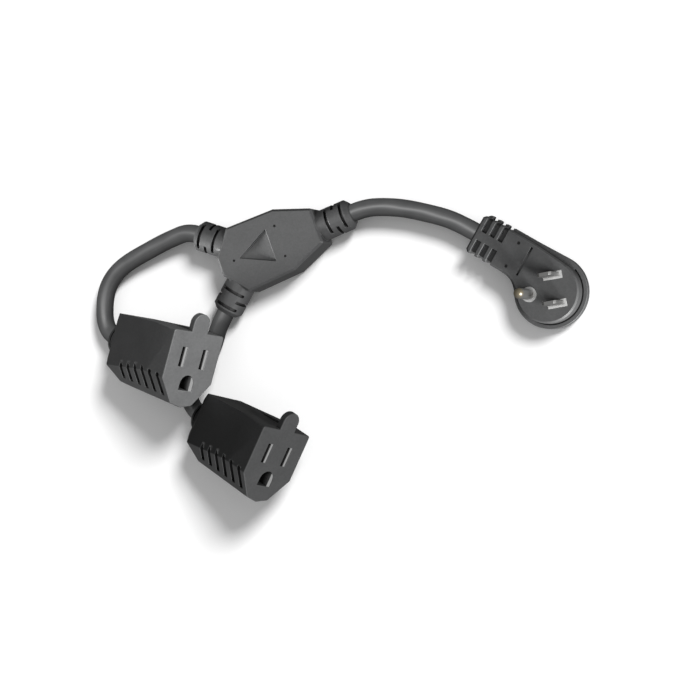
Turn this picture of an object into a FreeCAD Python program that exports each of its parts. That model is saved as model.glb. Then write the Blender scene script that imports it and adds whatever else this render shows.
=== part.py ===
"""A two-way splitter cord with a flat, low profile plug.

The plug lies on its back with the prongs up. A short cord runs from its neck to a flat
Y-shaped junction, and two branch cords run from there to two single-outlet sockets.
Millimetres, +Z up, z = 0 the surface that it all lies on. The origin is on the plug's
back, under the centre of its round head.
"""
import FreeCAD, Part
import math
import os
from types import SimpleNamespace
from FreeCAD import Placement, Rotation, Vector

SIZES = {
    # Blades and ground pin, at the standard spacing of a three-prong outlet
    "blade_width": 6.35,
    "blade_thickness": 1.5,
    "blade_length": 16.5,
    "blade_spacing": 12.7,
    "blade_tip_cut": 1.0,
    "ground_offset": 11.9,
    "pin_diameter": 4.75,
    "pin_length": 20.5,
    "pin_stem_diameter": 3.4,
    "pin_undercut": 0.1,
    # Plug body: a round head and a straight neck, set to one side
    "plug_thickness": 12.5,
    "head_radius": 14.4,
    "flange_radius": 16.8,
    "flange_thickness": 5.0,
    "flange_groove_width": 0.7,
    "flange_groove_depth": 0.9,
    "flange_groove_overrun": 14.3,
    "neck_width": 18.4,
    "neck_step": 0.8,
    "neck_reach": 42.0,
    "neck_offset": 6.4,
    "neck_straight": 16.0,
    "neck_blend_radius": 13.0,
    "neck_corner_radius": 1.2,
    "plug_edge_cut": 0.8,
    "plug_back_radius": 0.8,
    # Strain relief slots of the neck, either side of a spine
    "neck_slot_count": 3,
    "neck_slot_width": 2.5,
    "neck_slot_pitch": 4.2,
    "neck_slot_depth": 2.3,
    "neck_slot_notch": 1.2,
    "neck_collar": 2.4,
    "neck_spine": 4.2,
    # Marks on the plug's face
    "mark_diameter": 1.5,
    "mark_depth": 0.8,
    "mark_spacing": 11.7,
    "mark_reach": 21.8,
    "cross_groove_width": 1.0,
    "cross_groove_length": 14.2,
    "cross_groove_depth": 1.2,
    "cross_groove_reach": 15.4,
    "cross_groove_crown": 0.1,
    # Inner bridge that holds the prongs, and its bosses through the face
    "bridge_radius": 12.2,
    "bridge_thickness": 4.0,
    "bridge_level": 5.6,
    "boss_height": 0.3,
    "pin_boss_diameter": 6.8,
    "blade_boss_length": 8.7,
    "blade_boss_width": 3.5,
    "blade_offset": 3.7,
    # Crimp barrels on prongs and contacts
    "crimp_diameter": 3.2,
    "crimp_length": 6.0,
    "crimp_level": 3.6,
    "line_crimp_heading": 150.0,
    "neutral_crimp_heading": 165.0,
    "ground_crimp_heading": 115.0,
    # Cords
    "cord_diameter": 8.4,
    # Junction: an elongated octagon with a barrel at each cord
    "junction_thickness": 15.0,
    "junction_length": 51.8,
    "junction_half_width": 16.0,
    "junction_tail_half": 4.4,
    "junction_tail_reach": 9.3,
    "junction_shoulder": 34.0,
    "junction_shoulder_half": 15.3,
    "junction_nose_half": 8.5,
    "junction_corner_radius": 1.5,
    "junction_edge_cut": 1.1,
    "relief_diameter": 14.4,
    "relief_length": 15.0,
    "relief_nose_length": 16.0,
    "relief_end_cut": 1.9,
    "relief_slot_count": 3,
    "relief_slot_width": 1.4,
    "relief_slot_depth": 1.6,
    "relief_slot_first": 3.4,
    "relief_slot_step": 3.8,
    "relief_slot_angle": 110.0,
    # Dished triangle and pin marks on the junction
    "triangle_tip": 11.0,
    "triangle_base": 27.5,
    "triangle_half": 8.0,
    "dish_depth": 1.5,
    "dish_edge_depth": 0.3,
    "dish_overrun": 1.0,
    "junction_mark_diameter": 1.2,
    "junction_mark_near": 8.0,
    "junction_mark_far": 32.5,
    "junction_mark_half": 7.5,
    # Inside the junction
    "core_length": 30.0,
    "core_width": 18.0,
    "core_thickness": 8.0,
    "core_reach": 13.0,
    "splice_diameter": 4.0,
    "splice_length": 14.0,
    "splice_spacing": 5.6,
    # Sockets
    "socket_width": 30.6,
    "socket_top": 17.2,
    "socket_shoulder": 6.0,
    "socket_base": 17.2,
    "socket_base_half": 6.6,
    "socket_base_bulge": 1.6,
    "socket_depth": 50.0,
    "socket_corner_radius": 1.2,
    "socket_base_radius": 3.6,
    "socket_face_radius": 0.5,
    "taper_start": 13.0,
    "taper_end": 46.0,
    "taper_side": 4.4,
    "taper_top": 3.5,
    "base_end": 36.0,
    "rear_top": 9.5,
    "rear_base": 8.5,
    "collar_radius": 7.8,
    "collar_length": 3.0,
    "collar_groove_width": 0.7,
    "collar_groove_depth": 0.5,
    "tab_width": 9.6,
    "tab_height": 8.8,
    "tab_thickness": 3.0,
    "tab_root": 2.0,
    "tab_corner_radius": 4.7,
    "scoop_width": 17.0,
    "scoop_depth": 1.8,
    "scoop_start": 4.0,
    "scoop_end": 31.0,
    "scoop_lip": 0.1,
    "rib_slot_count": 6,
    "rib_slot_width": 2.3,
    "rib_slot_pitch": 5.9,
    "rib_slot_first": 3.0,
    "rib_slot_start": 1.0,
    "rib_slot_length": 12.0,
    "rib_slot_depth": 2.0,
    # Outlet in each socket's face
    "outlet_height": 5.0,
    "slot_height": 9.4,
    "slot_width": 3.1,
    "slot_depth": 15.0,
    "ground_hole_width": 8.3,
    "ground_hole_height": 7.4,
    "blade_grip": 1.2,
    "blade_grip_offset": -0.25,
    "pin_grip": 4.6,
    "contact_recess": 0.35,
    "short_leaf_step": 2.6,
    "contact_floor": 1.0,
    # Inner block that holds the contacts
    "carrier_half_width": 10.0,
    "carrier_top": 12.0,
    "carrier_base": 12.6,
    "carrier_base_half": 5.0,
    "carrier_start": 2.5,
    "carrier_length": 17.5,
    # How the pieces lie
    "plug_heading": 150.0,
    "outlet_heading": 10.0,
    "junction_x": -155.9,
    "junction_y": 12.7,
    "junction_heading": 21.0,
    "socket_pitch": 25.0,
    "socket_a_x": -163.4,
    "socket_a_y": -34.8,
    "socket_a_heading": -16.3,
    "socket_a_lift": 1.8,
    "socket_b_x": -123.6,
    "socket_b_y": -78.6,
    "socket_b_heading": -25.5,
    "socket_b_lift": 0.0,
}

doc = FreeCAD.newDocument("splitter_cord")
sheet = doc.addObject("Spreadsheet::Sheet", "sizes")
for row, (alias, value) in enumerate(SIZES.items(), start=1):
    sheet.set(f"A{row}", alias)
    sheet.set(f"B{row}", str(value))
    sheet.setAlias(f"B{row}", alias)
doc.recompute()
d = SimpleNamespace(**{alias: float(sheet.get(alias)) for alias in SIZES})
BEYOND = 4.0  # how far a cutting profile runs past the surface that it cuts
THROUGH = "120"  # length of a cut that passes right through a piece
TINY = 1e-4  # lengths under this count as none


# Sketches and features

def flat(x, y):
    """A point of a sketch."""
    return Vector(x, y, 0)


def rounded(corners):
    """The edges of a closed outline through corners (x, y, radius), each rounded to its radius."""
    count = len(corners)
    cuts = []
    for i, (x, y, radius) in enumerate(corners):
        here = flat(x, y)
        back = (flat(*corners[i - 1][:2]) - here).normalize()
        on = (flat(*corners[(i + 1) % count][:2]) - here).normalize()
        half = back.getAngle(on) / 2
        reach = radius / math.tan(half)
        middle = here + (back + on).normalize() * (radius / math.sin(half) - radius) if radius else here
        cuts.append((here + back * reach, middle, here + on * reach))
    edges = []
    for i, (start, middle, end) in enumerate(cuts):
        if corners[i][2]:
            edges.append(Part.Arc(start, middle, end))
        following = cuts[(i + 1) % count][0]
        if (following - end).Length > TINY:
            edges.append(Part.LineSegment(end, following))
    return edges


def sharp(*corners):
    """The edges of a closed outline with sharp corners (x, y)."""
    return rounded([(x, y, 0) for x, y in corners])


def rectangle(x0, y0, x1, y1):
    """The edges of an upright rectangle between two opposite corners."""
    return sharp((x0, y0), (x1, y0), (x1, y1), (x0, y1))


def circle(x, y, radius):
    """A full circle, as a list of one edge."""
    return [Part.Circle(flat(x, y), Vector(0, 0, 1), radius)]


def new_body(label, home):
    """An empty body at its place."""
    body = doc.addObject("PartDesign::Body", label)
    body.Placement = home
    return body


def origin_feature(body, role):
    """One of the body's own origin planes or axes."""
    return next(feature for feature in body.Origin.OriginFeatures if feature.Role == role)


def draw(body, role, edges, offset=0.0):
    """A sketch on one of the body's origin planes, moved along its normal by offset."""
    sketch = body.newObject("Sketcher::SketchObject", body.Name + "_sketch")
    sketch.AttachmentSupport = [(origin_feature(body, role), "")]
    sketch.MapMode = "FlatFace"
    sketch.AttachmentOffset = Placement(Vector(0, 0, offset), Rotation())
    sketch.addGeometry(edges, False)
    return sketch


def swept(body, kind, sketch, length, side="One side", back=False):
    """A pad or a pocket of a sketch, its length an expression of the sheet's values."""
    feature = body.newObject("PartDesign::" + kind, body.Name + "_" + kind.lower())
    feature.Profile = sketch
    feature.setExpression("Length", length)
    feature.SideType = side
    feature.Reversed = back
    return feature


def turned(body, kind, sketch, axis, angle="360"):
    """A revolution or a groove of a sketch about one of its own axes."""
    feature = body.newObject("PartDesign::" + kind, body.Name + "_" + kind.lower())
    feature.Profile = sketch
    feature.ReferenceAxis = (sketch, [axis])
    feature.setExpression("Angle", angle)
    feature.Midplane = True
    return feature


def trimmed(body, kind, wanted, alias):
    """A chamfer or fillet along the edges of the body's last feature that wanted() picks."""
    doc.recompute()
    last = body.Tip
    names = [f"Edge{i}" for i, edge in enumerate(last.Shape.Edges, start=1) if wanted(edge)]
    feature = body.newObject("PartDesign::" + kind, body.Name + "_" + kind.lower())
    feature.Base = (last, names)
    feature.setExpression("Size" if kind == "Chamfer" else "Radius", "sizes." + alias)
    return feature


def at_height(z):
    """A test for edges that lie flat at one height of their body."""
    return lambda edge: abs(edge.BoundBox.ZMin - z) < TINY and abs(edge.BoundBox.ZMax - z) < TINY


def joined(label, *pieces):
    """Pieces fused into one."""
    whole = doc.addObject("Part::MultiFuse", label)
    whole.Shapes = list(pieces)
    return whole


def cut(label, base, tool):
    """One piece less another."""
    rest = doc.addObject("Part::Cut", label)
    rest.Base = base
    rest.Tool = tool
    return rest


def cylinder(label, diameter, length, home):
    """A cylinder whose two sizes are expressions."""
    piece = doc.addObject("Part::Cylinder", label)
    piece.setExpression("Radius", f"({diameter}) / 2")
    piece.setExpression("Height", length)
    piece.Placement = home
    return piece


def shift(x, y, z):
    """A move with no turn."""
    return Placement(Vector(x, y, z), Rotation())


def heading(angle):
    """A turn about the upright axis, in degrees."""
    return Placement(Vector(), Rotation(Vector(0, 0, 1), angle))


ALONG_X = Rotation(Vector(0, 1, 0), 90)  # turns a cylinder's axis from Z to X


# Plug

plug_home = heading(d.plug_heading)
outlet_home = heading(d.outlet_heading)
face_z = d.plug_thickness


def plug_outline(radius, step=0.0):
    """The plug seen from above: a round head of this radius on the neck, +X towards the cord.

    The neck's outer side stands out by the step."""
    outer = -d.neck_offset - d.neck_width / 2 - step
    inner = -d.neck_offset + d.neck_width / 2
    end = d.neck_reach
    corner = d.neck_corner_radius
    leave = flat(d.neck_straight, outer)
    tangent = math.atan2(leave.y, leave.x) - math.acos(radius / leave.Length)
    blend = d.neck_blend_radius
    blend_y = inner + blend
    blend_x = math.sqrt((radius + blend) ** 2 - blend_y ** 2)
    meet = math.atan2(blend_y, blend_x)

    def round_point(angle):
        return flat(radius * math.cos(angle), radius * math.sin(angle))

    def blend_point(angle):
        return flat(blend_x + blend * math.cos(angle), blend_y + blend * math.sin(angle))

    top = (tangent + 2 * math.pi + meet) / 2
    blend_start, blend_end = math.pi + meet, 1.5 * math.pi
    blend_middle = (blend_start + blend_end) / 2
    return [
        Part.LineSegment(flat(end, outer + corner), flat(end - corner, outer)),
        Part.LineSegment(flat(end - corner, outer), leave),
        Part.LineSegment(leave, round_point(tangent)),
        Part.Arc(round_point(tangent), round_point(top), round_point(meet)),
        Part.Arc(blend_point(blend_start), blend_point(blend_middle), blend_point(blend_end)),
        Part.LineSegment(blend_point(blend_end), flat(end - corner, inner)),
        Part.LineSegment(flat(end - corner, inner), flat(end, inner - corner)),
        Part.LineSegment(flat(end, inner - corner), flat(end, outer + corner)),
    ], tangent, meet


def flange_groove():
    """The thin groove round the head where the raised part stands on the flange."""
    _, tangent, meet = plug_outline(d.head_radius)
    overrun = math.radians(d.flange_groove_overrun)
    start, end = tangent - overrun, meet - 2 * math.pi + overrun
    middle = (start + end) / 2
    inner, outer = d.head_radius, d.head_radius + d.flange_groove_width

    def at(radius, angle):
        return flat(radius * math.cos(angle), radius * math.sin(angle))

    return [
        Part.Arc(at(inner, start), at(inner, middle), at(inner, end)),
        Part.LineSegment(at(inner, end), at(outer, end)),
        Part.Arc(at(outer, end), at(outer, middle), at(outer, start)),
        Part.LineSegment(at(outer, start), at(inner, start)),
    ]


def neck_slots(depth_from_side):
    """Rectangles of the neck's transverse slots: either side of the spine, or notches in the sides."""
    edges = []
    for i in range(int(d.neck_slot_count)):
        end = d.neck_reach - d.neck_collar - i * d.neck_slot_pitch
        for side in (-1, 1):
            outside = d.neck_width / 2 + BEYOND
            inside = d.neck_width / 2 - d.neck_slot_notch if depth_from_side else d.neck_spine / 2
            edges += rectangle(
                end - d.neck_slot_width, -d.neck_offset + side * inside, end, -d.neck_offset + side * outside
            )
    return edges


def build_plug_body():
    """The moulded body, still solid where its inner pieces lie."""
    body = new_body("plug_body", plug_home)
    swept(body, "Pad", draw(body, "XY_Plane", plug_outline(d.head_radius)[0]), "sizes.plug_thickness")
    trimmed(body, "Chamfer", at_height(face_z), "plug_edge_cut")
    flange = plug_outline(d.flange_radius, d.neck_step)[0]
    swept(body, "Pad", draw(body, "XY_Plane", flange), "sizes.flange_thickness")
    trimmed(body, "Fillet", at_height(0), "plug_back_radius")
    swept(
        body, "Pocket", draw(body, "XY_Plane", flange_groove(), d.flange_thickness),
        "sizes.flange_groove_depth",
    )
    swept(body, "Pocket", draw(body, "XY_Plane", neck_slots(False), face_z), "sizes.neck_slot_depth")
    swept(body, "Pocket", draw(body, "XY_Plane", neck_slots(False)), "sizes.neck_slot_depth", back=True)
    swept(body, "Pocket", draw(body, "XY_Plane", neck_slots(True), face_z), "sizes.plug_thickness")
    marks = []
    for side in (-1, 1):
        marks += circle(d.mark_reach, -d.neck_offset + side * d.mark_spacing / 2, d.mark_diameter / 2)
    swept(body, "Pocket", draw(body, "XY_Plane", marks, face_z), "sizes.mark_depth")
    swept(body, "Pocket", draw(body, "XY_Plane", marks), "sizes.mark_depth", back=True)
    half = d.cross_groove_length / 2
    low = face_z - d.cross_groove_depth
    crown = [
        Part.Arc(
            flat(-d.neck_offset - half, low), flat(-d.neck_offset, face_z - d.cross_groove_crown),
            flat(-d.neck_offset + half, low),
        ),
        Part.LineSegment(flat(-d.neck_offset + half, low), flat(-d.neck_offset + half, face_z + BEYOND)),
        Part.LineSegment(
            flat(-d.neck_offset + half, face_z + BEYOND), flat(-d.neck_offset - half, face_z + BEYOND)
        ),
        Part.LineSegment(flat(-d.neck_offset - half, face_z + BEYOND), flat(-d.neck_offset - half, low)),
    ]
    swept(
        body, "Pocket", draw(body, "YZ_Plane", crown, d.cross_groove_reach + d.cross_groove_width / 2),
        "sizes.cross_groove_width",
    )
    return body


def prong_home(x, y):
    """A prong's foot, in the outlet's frame: +X from the ground pin to the blades."""
    return outlet_home.multiply(shift(x, y, 0))


def crimp(label, home, angle):
    """A crimp barrel that lies flat and points at the neck from a prong's root."""
    turn = Placement(Vector(0, 0, d.crimp_level), Rotation(Vector(0, 0, 1), angle - d.outlet_heading))
    place = home.multiply(turn).multiply(Placement(Vector(), ALONG_X))
    return cylinder(label, "sizes.crimp_diameter", "sizes.crimp_length", place)


def build_blade(label, side, angle):
    """A flat blade with bevelled tip corners and a crimp barrel at its root."""
    home = prong_home(d.blade_offset, side * d.blade_spacing / 2)
    body = new_body(label + "_strip", home)
    half, tip = d.blade_width / 2, face_z + d.blade_length
    root = d.crimp_level - d.crimp_diameter / 2
    outline = sharp(
        (-half, root), (half, root), (half, tip - d.blade_tip_cut), (half - d.blade_tip_cut, tip),
        (d.blade_tip_cut - half, tip), (-half, tip - d.blade_tip_cut),
    )
    swept(body, "Pad", draw(body, "XZ_Plane", outline), "sizes.blade_thickness", "Symmetric")
    return joined(label, body, crimp(label + "_crimp", home, angle))


def build_ground_pin():
    """The round ground pin: a domed shaft on a thinner stem that the bridge grips, and its crimp."""
    home = prong_home(d.blade_offset - d.ground_offset, 0)
    body = new_body("ground_pin_shaft", home)
    radius = d.pin_diameter / 2
    stem = d.pin_stem_diameter / 2
    shoulder = face_z + d.boss_height + d.pin_undercut
    tip = face_z + d.pin_length
    root = d.crimp_level - d.crimp_diameter / 2
    dome = radius * math.sin(math.pi / 4)
    edges = [
        Part.LineSegment(flat(0, root), flat(stem, root)),
        Part.LineSegment(flat(stem, root), flat(stem, shoulder)),
        Part.LineSegment(flat(stem, shoulder), flat(radius, shoulder)),
        Part.LineSegment(flat(radius, shoulder), flat(radius, tip - radius)),
        Part.Arc(flat(radius, tip - radius), flat(dome, tip - radius + dome), flat(0, tip)),
        Part.LineSegment(flat(0, tip), flat(0, root)),
    ]
    turned(body, "Revolution", draw(body, "XZ_Plane", edges), "V_Axis")
    return joined("ground_pin", body, crimp("ground_pin_crimp", home, d.ground_crimp_heading))


def build_bridge():
    """The stiff inner plate that holds the prongs, with a boss round each that shows at the face."""
    body = new_body("plug_bridge_blank", outlet_home)
    swept(
        body, "Pad", draw(body, "XY_Plane", circle(0, 0, d.bridge_radius), d.bridge_level),
        "sizes.bridge_thickness",
    )
    bosses = circle(d.blade_offset - d.ground_offset, 0, d.pin_boss_diameter / 2)
    for side in (-1, 1):
        y = side * d.blade_spacing / 2
        bosses += rectangle(
            d.blade_offset - d.blade_boss_length / 2, y - d.blade_boss_width / 2,
            d.blade_offset + d.blade_boss_length / 2, y + d.blade_boss_width / 2,
        )
    top = d.bridge_level + d.bridge_thickness
    swept(
        body, "Pad", draw(body, "XY_Plane", bosses, top),
        "sizes.plug_thickness + sizes.boss_height - sizes.bridge_level - sizes.bridge_thickness",
    )
    return body


plug_body = build_plug_body()
prongs = [
    build_blade("blade_line", -1, d.line_crimp_heading),
    build_blade("blade_neutral", 1, d.neutral_crimp_heading),
    build_ground_pin(),
]
bridge_blank = build_bridge()
plug_bridge = cut("plug_bridge", bridge_blank, joined("plug_prongs", *prongs))
plug_overmould = cut("plug_overmould", plug_body, joined("plug_inside", bridge_blank, *prongs))


# Junction

junction_home = shift(d.junction_x, d.junction_y, 0).multiply(heading(d.junction_heading))
branch_facet = math.atan2(d.junction_half_width - d.junction_tail_half, d.junction_tail_reach)
branch_angle = 270.0 - math.degrees(branch_facet)


def relief_home(which):
    """Where a strain relief leaves the junction: its frame has +X outwards along the cord."""
    middle = d.junction_thickness / 2
    if which == "main":
        local = shift(d.junction_length, 0, middle)
    else:
        side = 1 if which == "a" else -1
        x = d.junction_tail_reach / 2
        y = side * (d.junction_half_width + d.junction_tail_half) / 2
        local = shift(x, y, middle).multiply(heading(180.0 - side * (branch_angle - 180.0)))
    return junction_home.multiply(local)


def build_relief(which, alias):
    """A round barrel with staggered slots, which lets the cord bend where it leaves."""
    body = new_body("relief_" + which, relief_home(which))
    radius = d.relief_diameter / 2
    length = getattr(d, alias)
    inside = d.junction_tail_half
    profile = sharp(
        (-inside, 0), (-inside, radius), (length - d.relief_end_cut, radius),
        (length, radius - d.relief_end_cut), (length, 0),
    )
    turned(body, "Revolution", draw(body, "XZ_Plane", profile), "H_Axis")
    for i in range(int(d.relief_slot_count)):
        near = length - d.relief_slot_first - i * d.relief_slot_step
        slot = rectangle(
            near - d.relief_slot_width / 2, radius - d.relief_slot_depth, near + d.relief_slot_width / 2,
            radius + BEYOND,
        )
        plane = "XY_Plane" if i == 1 else "XZ_Plane"
        groove = turned(body, "Groove", draw(body, plane, slot), "H_Axis", "sizes.relief_slot_angle")
        doc.recompute()
        pair = body.newObject("PartDesign::PolarPattern", body.Name + "_pair")
        pair.Originals = [groove]
        pair.Axis = (origin_feature(body, "X_Axis"), [""])
        pair.Angle = 360
        pair.Occurrences = 2
        body.Tip = pair
    return body


def build_junction_block():
    """The flat octagon between the cords, with a dished triangle and three pin marks on its top."""
    body = new_body("junction_block", junction_home)
    wide, tail, nose = d.junction_half_width, d.junction_tail_half, d.junction_nose_half
    corner = d.junction_corner_radius
    stations = (
        (0, tail), (d.junction_tail_reach, wide), (d.junction_shoulder, d.junction_shoulder_half),
        (d.junction_length, nose),
    )
    outline = [(x, -y, corner) for x, y in stations] + [(x, y, corner) for x, y in reversed(stations)]
    swept(body, "Pad", draw(body, "XY_Plane", rounded(outline)), "sizes.junction_thickness")
    top = d.junction_thickness
    trimmed(
        body, "Chamfer", lambda edge: at_height(top)(edge) or at_height(0)(edge), "junction_edge_cut"
    )
    marks = circle(d.junction_mark_near, 0, d.junction_mark_diameter / 2)
    for side in (-1, 1):
        marks += circle(d.junction_mark_far, side * d.junction_mark_half, d.junction_mark_diameter / 2)
    swept(body, "Pocket", draw(body, "XY_Plane", marks, top), "sizes.mark_depth")
    return body


def build_dish():
    """The tool of the triangle recess: a three-sided prism with a cylindrical floor."""
    body = new_body("junction_dish", junction_home)
    top = d.junction_thickness
    triangle = sharp(
        (d.triangle_tip, 0), (d.triangle_base, -d.triangle_half), (d.triangle_base, d.triangle_half)
    )
    swept(
        body, "Pad", draw(body, "XY_Plane", triangle, top - d.dish_depth),
        "sizes.dish_depth + sizes.dish_overrun",
    )
    start, end = d.triangle_tip - d.dish_overrun, d.triangle_base + d.dish_overrun
    rim = top - d.dish_edge_depth
    under = [
        Part.Arc(flat(start, rim), flat((start + end) / 2, top - d.dish_depth), flat(end, rim)),
        Part.LineSegment(flat(end, rim), flat(end, top - BEYOND)),
        Part.LineSegment(flat(end, top - BEYOND), flat(start, top - BEYOND)),
        Part.LineSegment(flat(start, top - BEYOND), flat(start, rim)),
    ]
    swept(body, "Pocket", draw(body, "XZ_Plane", under), THROUGH, "Symmetric")
    return body


def build_core():
    """The inner block that is moulded round the three splices first."""
    body = new_body("junction_core_blank", junction_home)
    half = d.core_width / 2
    outline = rectangle(d.core_reach, -half, d.core_reach + d.core_length, half)
    bottom = (d.junction_thickness - d.core_thickness) / 2
    swept(body, "Pad", draw(body, "XY_Plane", outline, bottom), "sizes.core_thickness")
    return body


def build_splice(label, place):
    """A crimp barrel that joins one conductor of the three cords."""
    x = d.core_reach + (d.core_length - d.splice_length) / 2
    local = Placement(Vector(x, place * d.splice_spacing, d.junction_thickness / 2), ALONG_X)
    return cylinder(label, "sizes.splice_diameter", "sizes.splice_length", junction_home.multiply(local))


reliefs = [
    build_relief("main", "relief_nose_length"),
    build_relief("a", "relief_length"),
    build_relief("b", "relief_length"),
]
splices = [
    build_splice("splice_line", -1),
    build_splice("splice_ground", 0),
    build_splice("splice_neutral", 1),
]
core_blank = build_core()
junction_core = cut("junction_core", core_blank, joined("junction_splices", *splices))
junction_shell = joined("junction_shell", build_junction_block(), *reliefs)
junction_overmould = cut(
    "junction_overmould", junction_shell, joined("junction_inside", core_blank, build_dish())
)


# Sockets

def socket_home(which):
    """A socket's frame: +X across the face, +Y towards the tab, +Z out of the face."""
    pitch = math.radians(d.socket_pitch)
    turn = math.radians(getattr(d, f"socket_{which}_heading"))
    depth = d.socket_depth + d.collar_length
    lift = getattr(d, f"socket_{which}_lift")
    out = Vector(math.cos(pitch) * math.cos(turn), math.cos(pitch) * math.sin(turn), math.sin(pitch))
    up = Vector(-math.sin(turn), math.cos(turn), 0)
    across = up.cross(out)
    z = lift + depth * math.sin(pitch) + d.collar_radius * math.cos(pitch)
    place = Vector(getattr(d, f"socket_{which}_x"), getattr(d, f"socket_{which}_y"), z)
    return Placement(place, Rotation(across, up, out, "ZYX"))


def ground_hole():
    """The ground hole's outline: flat below, round towards the blades."""
    half = d.ground_hole_width / 2
    middle = d.outlet_height - d.ground_offset
    low = middle - d.ground_hole_height / 2
    turn = middle + d.ground_hole_height / 2 - d.ground_hole_width / 2
    return [
        Part.LineSegment(flat(-half, low), flat(half, low)),
        Part.LineSegment(flat(half, low), flat(half, turn)),
        Part.Arc(flat(half, turn), flat(0, turn + half), flat(-half, turn)),
        Part.LineSegment(flat(-half, turn), flat(-half, low)),
    ]


def blade_slot(side):
    """One blade slot's outline."""
    x = side * d.blade_spacing / 2
    across, half = d.slot_width / 2, d.slot_height / 2
    return rectangle(x - across, d.outlet_height - half, x + across, d.outlet_height + half)


def outlet_openings():
    """The two blade slots and the ground hole."""
    return blade_slot(-1) + blade_slot(1) + ground_hole()


def build_socket_body(which, home):
    """The moulded body, its outer form and the outlet in its face."""
    body = new_body(f"socket_{which}_body", home)
    half, corner = d.socket_width / 2, d.socket_corner_radius
    outline = rounded([
        (half, d.socket_top, corner), (-half, d.socket_top, corner), (-half, -d.socket_shoulder, corner),
        (-d.socket_base_half, -d.socket_base, corner),
        (0, -d.socket_base - d.socket_base_bulge, d.socket_base_radius),
        (d.socket_base_half, -d.socket_base, corner), (half, -d.socket_shoulder, corner),
    ])
    swept(body, "Pad", draw(body, "XY_Plane", outline), "sizes.socket_depth", back=True)
    tab_half = d.tab_width / 2
    tab_root, tab_top = d.socket_top - d.tab_root, d.socket_top + d.tab_height
    tab = rounded([
        (-tab_half, tab_root, 0), (tab_half, tab_root, 0), (tab_half, tab_top, d.tab_corner_radius),
        (-tab_half, tab_top, d.tab_corner_radius),
    ])
    swept(body, "Pad", draw(body, "XY_Plane", tab), "sizes.tab_thickness", back=True)
    trimmed(body, "Fillet", at_height(0), "socket_face_radius")
    behind = d.socket_depth + d.collar_length + BEYOND
    sides = []
    for side in (-1, 1):
        sides += sharp(
            (side * half, -d.taper_start), (side * (half - d.taper_side), -d.taper_end),
            (side * d.collar_radius, -d.socket_depth), (side * d.collar_radius, -behind),
            (side * (half + BEYOND), -behind), (side * (half + BEYOND), -d.taper_start),
        )
    swept(body, "Pocket", draw(body, "XZ_Plane", sides), THROUGH, "Symmetric")
    over = sharp(
        (d.socket_top, -d.taper_start), (d.socket_top - d.taper_top, -d.taper_end),
        (d.rear_top, -d.socket_depth), (d.rear_top, -behind), (d.socket_top + BEYOND, -behind),
        (d.socket_top + BEYOND, -d.taper_start),
    )
    deepest = d.socket_base + d.socket_base_bulge
    under = sharp(
        (-deepest, -d.base_end), (-d.rear_base, -d.socket_depth), (-d.rear_base, -behind),
        (-deepest - BEYOND, -behind), (-deepest - BEYOND, -d.base_end),
    )
    swept(body, "Pocket", draw(body, "YZ_Plane", over + under), THROUGH, "Symmetric")
    lip = d.socket_top + d.scoop_lip
    scoop = [
        Part.Arc(
            flat(lip, -d.scoop_start), flat(d.socket_top - d.scoop_depth, -(d.scoop_start + d.scoop_end) / 2),
            flat(d.socket_top - d.taper_top / 2, -d.scoop_end),
        ),
        Part.LineSegment(
            flat(d.socket_top - d.taper_top / 2, -d.scoop_end), flat(lip + BEYOND, -d.scoop_end)
        ),
        Part.LineSegment(flat(lip + BEYOND, -d.scoop_end), flat(lip + BEYOND, -d.scoop_start)),
        Part.LineSegment(flat(lip + BEYOND, -d.scoop_start), flat(lip, -d.scoop_start)),
    ]
    swept(body, "Pocket", draw(body, "YZ_Plane", scoop), "sizes.scoop_width", "Symmetric")
    add_collar(body)
    add_rib_slots(body)
    swept(body, "Pocket", draw(body, "XY_Plane", outlet_openings()), "sizes.slot_depth")
    return body


def add_collar(body):
    """The round collar with a ring groove, where the cord enters."""
    radius = d.collar_radius
    end = d.socket_depth + d.collar_length
    ring = d.socket_depth + d.collar_length / 2
    half = d.collar_groove_width / 2
    floor = radius - d.collar_groove_depth
    profile = sharp(
        (0, -d.taper_end), (floor, -d.taper_end), (floor, half - d.socket_depth),
        (radius, half - d.socket_depth), (radius, half - ring), (floor, half - ring), (floor, -half - ring),
        (radius, -half - ring), (radius, -end), (0, -end),
    )
    turned(body, "Revolution", draw(body, "XZ_Plane", profile), "V_Axis")


def add_rib_slots(body):
    """A row of transverse slots on each lower facet."""
    half = d.socket_width / 2
    upper = flat(half, -d.socket_shoulder)
    along = (flat(d.socket_base_half, -d.socket_base) - upper).normalize()
    outward = flat(-along.y, along.x)
    edges = []
    near, far = -d.rib_slot_start, d.rib_slot_length - d.rib_slot_start
    for side in (-1, 1):
        corners = []
        for run, rise in ((near, -d.rib_slot_depth), (far, -d.rib_slot_depth), (far, BEYOND), (near, BEYOND)):
            corner = upper + along * run + outward * rise
            corners.append((side * corner.x, corner.y))
        edges += sharp(*corners)
    slot = swept(body, "Pocket", draw(body, "XY_Plane", edges, -d.rib_slot_first), "sizes.rib_slot_width")
    doc.recompute()
    row = body.newObject("PartDesign::LinearPattern", body.Name + "_rib_slots")
    row.Originals = [slot]
    row.Direction = (origin_feature(body, "Z_Axis"), [""])
    row.Reversed = True
    row.setExpression("Length", "sizes.rib_slot_pitch * (sizes.rib_slot_count - 1)")
    row.Occurrences = int(d.rib_slot_count)
    body.Tip = row


def build_carrier(which, home):
    """The inner block that holds the contacts, open along the slots."""
    body = new_body(f"socket_{which}_carrier_blank", home)
    outline = sharp(
        (d.carrier_half_width, d.carrier_top), (-d.carrier_half_width, d.carrier_top),
        (-d.carrier_half_width, -d.socket_shoulder), (-d.carrier_base_half, -d.carrier_base),
        (d.carrier_base_half, -d.carrier_base), (d.carrier_half_width, -d.socket_shoulder),
    )
    swept(body, "Pad", draw(body, "XY_Plane", outline, -d.carrier_start), "sizes.carrier_length", back=True)
    return body


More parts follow.
